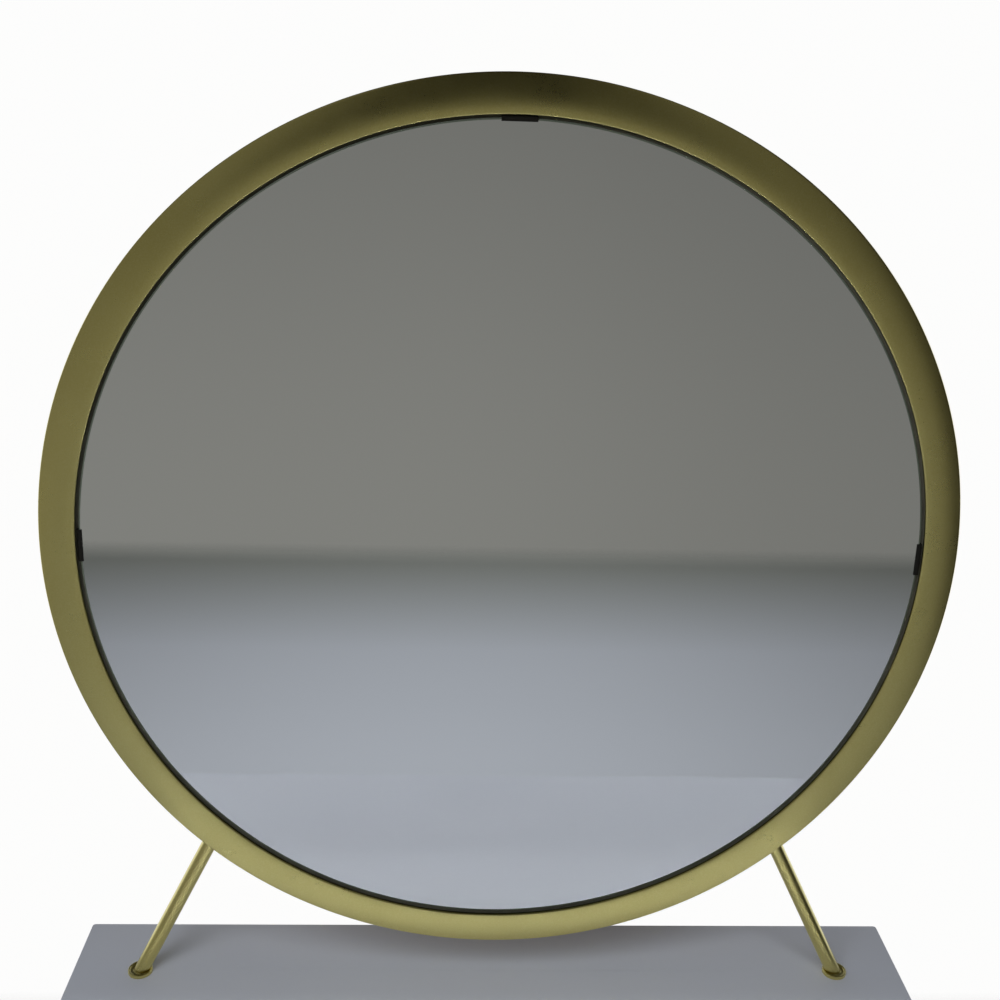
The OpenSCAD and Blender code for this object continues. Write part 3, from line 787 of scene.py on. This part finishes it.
def build_backing():
    """The board behind the glass, with slots for the clips, and the six lugs that it is screwed to."""
    play = 0.1 * MM
    near, far, half = CLIP_WEB - play, CLIP_WEB + CLIP_T + play, CLIP_W / 2 + play
    slots = []
    for angle in CLIP_ANGLES:
        turn = Matrix.Rotation(angle, 2)
        slots.append([turn @ Vector(c) for c in ((near, -half), (far, -half), (far, half), (near, half))])
    disc = prism(circle(0, 0, BACKING_R, 288), GLASS_BACK, BACKING_BACK, slots)
    # The front face is the sealed one
    for face in disc.faces:
        face.material_index = int(max(vert.co.z for vert in face.verts) < GLASS_BACK + 0.01 * MM)
    looks = [FINISHES["backing_board"], sealed_face()]
    piece(disc, "mirror_backing", matrix=IN_RING, bevel=0.3 * MM, materials=looks)

    wall_r, lug_w, lug_t, lug_corner = RING_R - SHEET_T, 14 * MM, 2 * MM, 4 * MM
    edge = math.asin(lug_w / 2 / wall_r)
    arc = [edge * (k / 4 - 1) for k in range(9)]
    corners = [(wall_r * math.cos(a), wall_r * math.sin(a), 0) for a in arc]
    corners += [(wall_r - lug_w, sy * lug_w / 2, lug_corner) for sy in (1, -1)]
    hole = circle(wall_r - lug_w / 2, 0, 1.8 * MM)
    parts = [
        (prism(rounded(corners), GLASS_BACK - lug_t, GLASS_BACK, [hole]), Matrix.Rotation(angle, 4, "Z"))
        for angle in [math.radians(30 + 60 * k) for k in range(6)]
    ]
    piece(joined(parts), "backing_lugs", matrix=IN_RING, bevel=0.25 * MM)


# ---------------------------------------------------------------- drawer and slides


def build_drawer():
    """The drawer's grooved sides, its back and its bottom."""
    groove, groove_in = 5 * MM, 6 * MM
    foot_round, top_round, lip_round = 0.6 * MM, 2.5 * MM, 0.4 * MM
    bottom_t = extent("drawer_bottom").z
    for side, node in ((-1, "drawer_left_side"), (1, "drawer_right_side")):
        low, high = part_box(node)
        inner, outer = (low.x, high.x) if side > 0 else (high.x, low.x)
        floor = low.z + groove_in
        outline = rounded(
            [
                (outer, low.z, foot_round),
                (outer, high.z, top_round),
                (inner, high.z, top_round),
                (inner, floor + bottom_t, lip_round),
                (inner + side * groove, floor + bottom_t, 0),
                (inner + side * groove, floor, 0),
                (inner, floor, lip_round),
                (inner, low.z, foot_round),
            ]
        )
        piece(run(outline, low.y, high.y), node, bevel=0.3 * MM)
    board("drawer_back", 1.5 * MM)
    board("drawer_bottom", 0.3 * MM)


def build_slides():
    """Three nested members a side: rolled channels with rounded bends."""
    sheet, bend = 1.2 * MM, 1.9 * MM
    edge = sheet * 0.45
    for side, hand in ((-1, "left"), (1, "right")):
        for member, opens in (("outer", -side), ("middle", -side), ("inner", side)):
            node = f"{hand}_slide_{member}"
            low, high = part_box(node)
            web, rim = (low.x, high.x) if opens > 0 else (high.x, low.x)
            outline = rounded(
                [
                    (web, low.z, bend),
                    (rim, low.z, edge),
                    (rim, low.z + sheet, edge),
                    (web + opens * sheet, low.z + sheet, bend - sheet),
                    (web + opens * sheet, high.z - sheet, bend - sheet),
                    (rim, high.z - sheet, edge),
                    (rim, high.z, edge),
                    (web, high.z, bend),
                ]
            )
            piece(run(outline, low.y, high.y), node, bevel=0.1 * MM)


# ---------------------------------------------------------------- fastenings


def build_studs():
    """Threaded studs under the rods' feet, with their washers and nuts."""

    def stud(radius, half):
        return lathe([(0, half)] + thread(radius, -half, half, 1 * MM) + [(0, -half)], 32)

    def washer(radius, half):
        corners = [(STUD_HOLE, -half), (radius, -half), (radius, half), (STUD_HOLE, half)]
        return lathe(rounded([(r, h, 0.25 * MM) for r, h in corners], 3), 64)

    def nut(radius, half):
        return prism(circle(0, 0, radius, 6), -half, half, [circle(0, 0, 2.95 * MM)])

    for node, make, bevel in (
        ("rod_studs", stud, 0),
        ("rod_washers", washer, 0),
        ("rod_nuts", nut, 0.45 * MM),
    ):
        parts = [
            (make(max(size.x, size.y) / 2, size.z / 2), Matrix.Translation(centre))
            for centre, size in solids(node)
        ]
        piece(joined(parts), node, bevel=bevel)


def build_dowels():
    """Fluted dowels with eased ends."""
    flute = 0.25 * MM
    for node in ("case_dowels", "drawer_dowels"):
        parts = []
        for centre, size in solids(node):
            length, radius = max(size), min(size) / 2
            ridges, grooves = circle(0, 0, radius), circle(0, 0, radius - flute)
            section = [(grooves if k % 2 else ridges)[k] for k in range(len(ridges))]
            way = Vector((1, 0, 0)) if size.x > size.y else Vector((0, 1, 0))
            turn = way.to_track_quat("Z", "Y").to_matrix().to_4x4()
            parts.append((prism(section, -length / 2, length / 2), Matrix.Translation(centre) @ turn))
        piece(joined(parts), node, bevel=0.35 * MM, sharp=60)


def build_brackets():
    """Bent angle brackets between the case and the table top."""
    sheet, bend = 1.5 * MM, 2.2 * MM
    edge, parts = sheet * 0.3, []
    for centre, size in solids("top_brackets"):
        side = math.copysign(1, centre.x)
        wall, top = centre.x + side * size.x / 2, centre.z + size.z / 2
        rim, foot = wall - side * size.x, top - size.z
        outline = rounded(
            [
                (wall, top, bend),
                (wall, foot, edge),
                (wall - side * sheet, foot, edge),
                (wall - side * sheet, top - sheet, bend - sheet),
                (rim, top - sheet, edge),
                (rim, top, edge),
            ]
        )
        parts.append((run(outline, centre.y - size.y / 2, centre.y + size.y / 2), Matrix.Identity(4)))
    piece(joined(parts), "top_brackets", bevel=0.2 * MM)


def build_screws():
    """Every screw, at the CAD's places. Those along X point out of the case or into the drawer's box, those
    along Y point to the front and those along Z point up."""
    # node, (shank radius, head radius, head height, length) in millimetres, countersunk, way along X
    for node, size, flat, out in (
        ("clip_screws", (1.5, 3, 1.8, 8), False, 1),
        ("backing_screws", (1.75, 3.5, 2, 11), True, 1),
        ("bracket_screws", (1.6, 3.2, 1.8, 12), False, 1),
        ("outer_slide_screws", (1.6, 2.9, 1.2, 11), True, 1),
        ("inner_slide_screws", (1.6, 2.9, 1.2, 11), True, -1),
        ("drawer_screws", (1.75, 3.4, 1.8, 32), True, -1),
        ("knob_screw", (1.95, 4, 2.6, 30), False, 1),
        ("leg_screws", (2, 4, 2.4, 14), False, 1),
    ):
        sizes = [value * MM for value in size]
        parts = []
        for centre, box in solids(node):
            axis = max(range(3), key=lambda i: box[i])
            way = Vector((0, 0, 0))
            way[axis] = (out * math.copysign(1, centre.x), -1, 1)[axis]
            seat = centre - way * (box[axis] / 2 - (0 if flat else sizes[2]))
            turn = way.to_track_quat("-Z", "Y").to_matrix().to_4x4()
            parts.append((screw(*sizes, flat), Matrix.Translation(seat) @ turn))
        piece(joined(parts), node)


# ---------------------------------------------------------------- stage, lights and camera

FLOOR_BACK, FLOOR_FRONT, FLOOR_SIDE = 1.02, -2.9, 2.3


def build_stage():
    """A pale floor with painted shade towards its front, whose edges fade out, so that no edge of it shows.
    """
    f = Finish("studio_floor", Roughness=0.7)
    place = f.node("SeparateXYZ", Vector=f.place)
    across = f.node("Math", {"operation": "ABSOLUTE"})
    f.tree.links.new(place.outputs["X"], across.inputs[0])
    fades = [
        f.spread(across.outputs[0], FLOOR_SIDE - 0.8, FLOOR_SIDE, 1, 0),
        f.spread(place.outputs["Y"], FLOOR_BACK - 0.35, FLOOR_BACK, 1, 0),
        f.spread(place.outputs["Y"], FLOOR_FRONT, FLOOR_FRONT + 0.16, 0, 1),
    ]
    seen = fades[0]
    for fade in fades[1:]:
        product = f.node("Math", {"operation": "MULTIPLY"})
        f.tree.links.new(seen, product.inputs[0])
        f.tree.links.new(fade, product.inputs[1])
        seen = product.outputs[0]
    # Painted shade: darker at its front edge, where the light falls off, and paler towards the table
    far = f.spread(place.outputs["Y"], -2.72, -2.10, 0, 1)
    tone = f.blend(far, (0.50, 0.50, 0.43), (0.787, 0.795, 0.80))
    near = f.spread(place.outputs["Y"], -1.78, -1.42, 0, 1)
    f.drive(Base_Color=f.blend(near, tone, (0.818, 0.826, 0.833)))
    clear = f.node("BsdfTransparent")
    mix = f.node("MixShader", Fac=seen)
    f.tree.links.new(clear.outputs[0], mix.inputs[1])
    f.tree.links.new(f.shader.outputs[0], mix.inputs[2])
    f.tree.links.new(mix.outputs[0], f.tree.nodes["Material Output"].inputs["Surface"])

    bm = bmesh.new()
    corners = ((-1, FLOOR_FRONT), (1, FLOOR_FRONT), (1, FLOOR_BACK), (-1, FLOOR_BACK))
    bm.faces.new([bm.verts.new((sx * FLOOR_SIDE, y, 0)) for sx, y in corners])
    mesh = bpy.data.meshes.new("studio_floor")
    bm.to_mesh(mesh)
    bm.free()
    mesh.materials.append(f.material)
    floor = bpy.data.objects.new("studio_floor", mesh)
    scene.collection.objects.link(floor)


def build_world():
    """A studio in soft bands: bright behind the table, grey in front, dark above and far to the right.
    What is seen of it directly is plain white."""
    world = bpy.data.worlds.new("studio")
    scene.world = world
    world.use_nodes = True
    tree = world.node_tree
    tree.nodes.clear()
    link = tree.links.new

    def node(kind, **settings):
        made = tree.nodes.new("ShaderNode" + kind)
        for key, value in settings.items():
            setattr(made, key, value)
        return made

    def ranged(source, low, high, to_low, to_high):
        """Maps source from low..high to to_low..to_high with a soft start and end."""
        made = node("MapRange", interpolation_type="SMOOTHSTEP")
        link(source, made.inputs["Value"])
        for key, value in (("From Min", low), ("From Max", high), ("To Min", to_low), ("To Max", to_high)):
            made.inputs[key].default_value = value
        return made.outputs["Result"]

    def times(first, second):
        made = node("Math", operation="MULTIPLY")
        link(first, made.inputs[0])
        link(second, made.inputs[1])
        return made.outputs[0]

    place = node("SeparateXYZ")
    link(node("TexCoord").outputs["Generated"], place.inputs[0])
    x, y, z = place.outputs

    def background(colour, strength):
        made = node("Background")
        made.inputs["Color"].default_value = (*colour, 1)
        if isinstance(strength, float):
            made.inputs["Strength"].default_value = strength
        else:
            link(strength, made.inputs["Strength"])
        return made.outputs[0]

    def mixed(amount, first, second):
        made = node("MixShader")
        link(amount, made.inputs[0])
        link(first, made.inputs[1])
        link(second, made.inputs[2])
        return made.outputs[0]

    # In front of the table: darker upwards, a little darker to the right and much darker far to the right
    front = times(ranged(z, -0.35, 0.15, 0.228, 0.155), ranged(x, 0.45, 0.80, 1.0, 0.12))
    front = times(front, ranged(x, -0.05, 0.40, 1.05, 0.86))
    # Dark above the horizon, from straight in front to overhead
    aside = node("Math", operation="ABSOLUTE")
    link(x, aside.inputs[0])
    overhead = times(ranged(z, -0.035, 0.048, 0.0, 1.0), ranged(aside.outputs[0], 0.16, 0.36, 1.0, 0.0))
    front = times(front, ranged(overhead, 0.0, 1.0, 1.0, 0.04))
    # Behind the table: bright up to the horizon and a little above it, and dark higher up
    back = ranged(z, 0.12, 0.45, 1.0, 0.04)
    studio = mixed(
        ranged(y, -0.05, 0.30, 0.0, 1.0),
        background((1.0, 1.0, 0.93), front),
        background((0.92, 0.96, 1.10), back),
    )
    seen = node("LightPath").outputs["Is Camera Ray"]
    out = node("OutputWorld")
    link(mixed(seen, studio, background((1.0, 1.0, 0.995), 0.98)), out.inputs["Surface"])


def area_light(name, at, towards, size, power, colour, spread=180):
    """A soft lamp that polished surfaces don't mirror. size is a disc's width or a rectangle's sides, power
    is in watts and spread in degrees."""
    data = bpy.data.lights.new(name, "AREA")
    if isinstance(size, tuple):
        data.shape = "RECTANGLE"
        data.size, data.size_y = size
    else:
        data.shape = "DISK"
        data.size = size
    data.energy = power
    data.color = colour
    data.spread = math.radians(spread)
    lamp = bpy.data.objects.new(name, data)
    lamp.location = at
    lamp.rotation_euler = (Vector(towards) - Vector(at)).to_track_quat("-Z", "Y").to_euler()
    lamp.visible_glossy = False
    scene.collection.objects.link(lamp)


def build_lights():
    """A key lamp, a lamp for the floor in front, and two narrow beams that stand in for the daylight
    which the mirror throws on the table top."""
    cool, mirrored = (0.90, 0.95, 1.06), (0.92, 0.95, 1.02)
    area_light("key", (-0.75, -1.25, 2.15), (0, 0, TABLE_Z), 1.2, 8, cool)
    # name, middle and width along Y, power
    beams = (("from_mirror", -0.0825, 0.33, 0.44), ("from_mirror_foot", 0.0275, 0.11, 0.05))
    for name, y, deep, power in beams:
        area_light(name, (0, y, 1.8), (0, y, TABLE_Z), (0.8, deep), power, mirrored, 5)
    area_light("floor_fill", (-0.05, -1.7, 3.0), (0.05, -1.7, 0), 1.6, 10.8, cool, 100)


def build_camera():
    """Stands before the mirror at a person's eye height, where the photograph was taken from."""
    data = bpy.data.cameras.new("camera")
    data.sensor_width = 36
    data.lens = 44.95
    camera = bpy.data.objects.new("camera", data)
    eye = (-0.0404, REAR_EDGE_Y - 0.9393, TABLE_Z + 0.7141)
    yaw, pitch, roll = math.radians(-2.373), math.radians(90 - 18.411), math.radians(1.685)
    turn = Matrix.Rotation(yaw, 4, "Z") @ Matrix.Rotation(pitch, 4, "X") @ Matrix.Rotation(roll, 4, "Z")
    camera.matrix_world = Matrix.Translation(eye) @ turn
    scene.collection.objects.link(camera)
    scene.camera = camera


build_camera()
build_stage()
build_world()
build_lights()
build_mirror()
build_clips()
build_rods()
build_case()
build_knob()
build_legs()
build_backing()
build_drawer()
build_slides()
build_studs()
build_dowels()
build_brackets()
build_screws()

scene.view_settings.view_transform = "Standard"
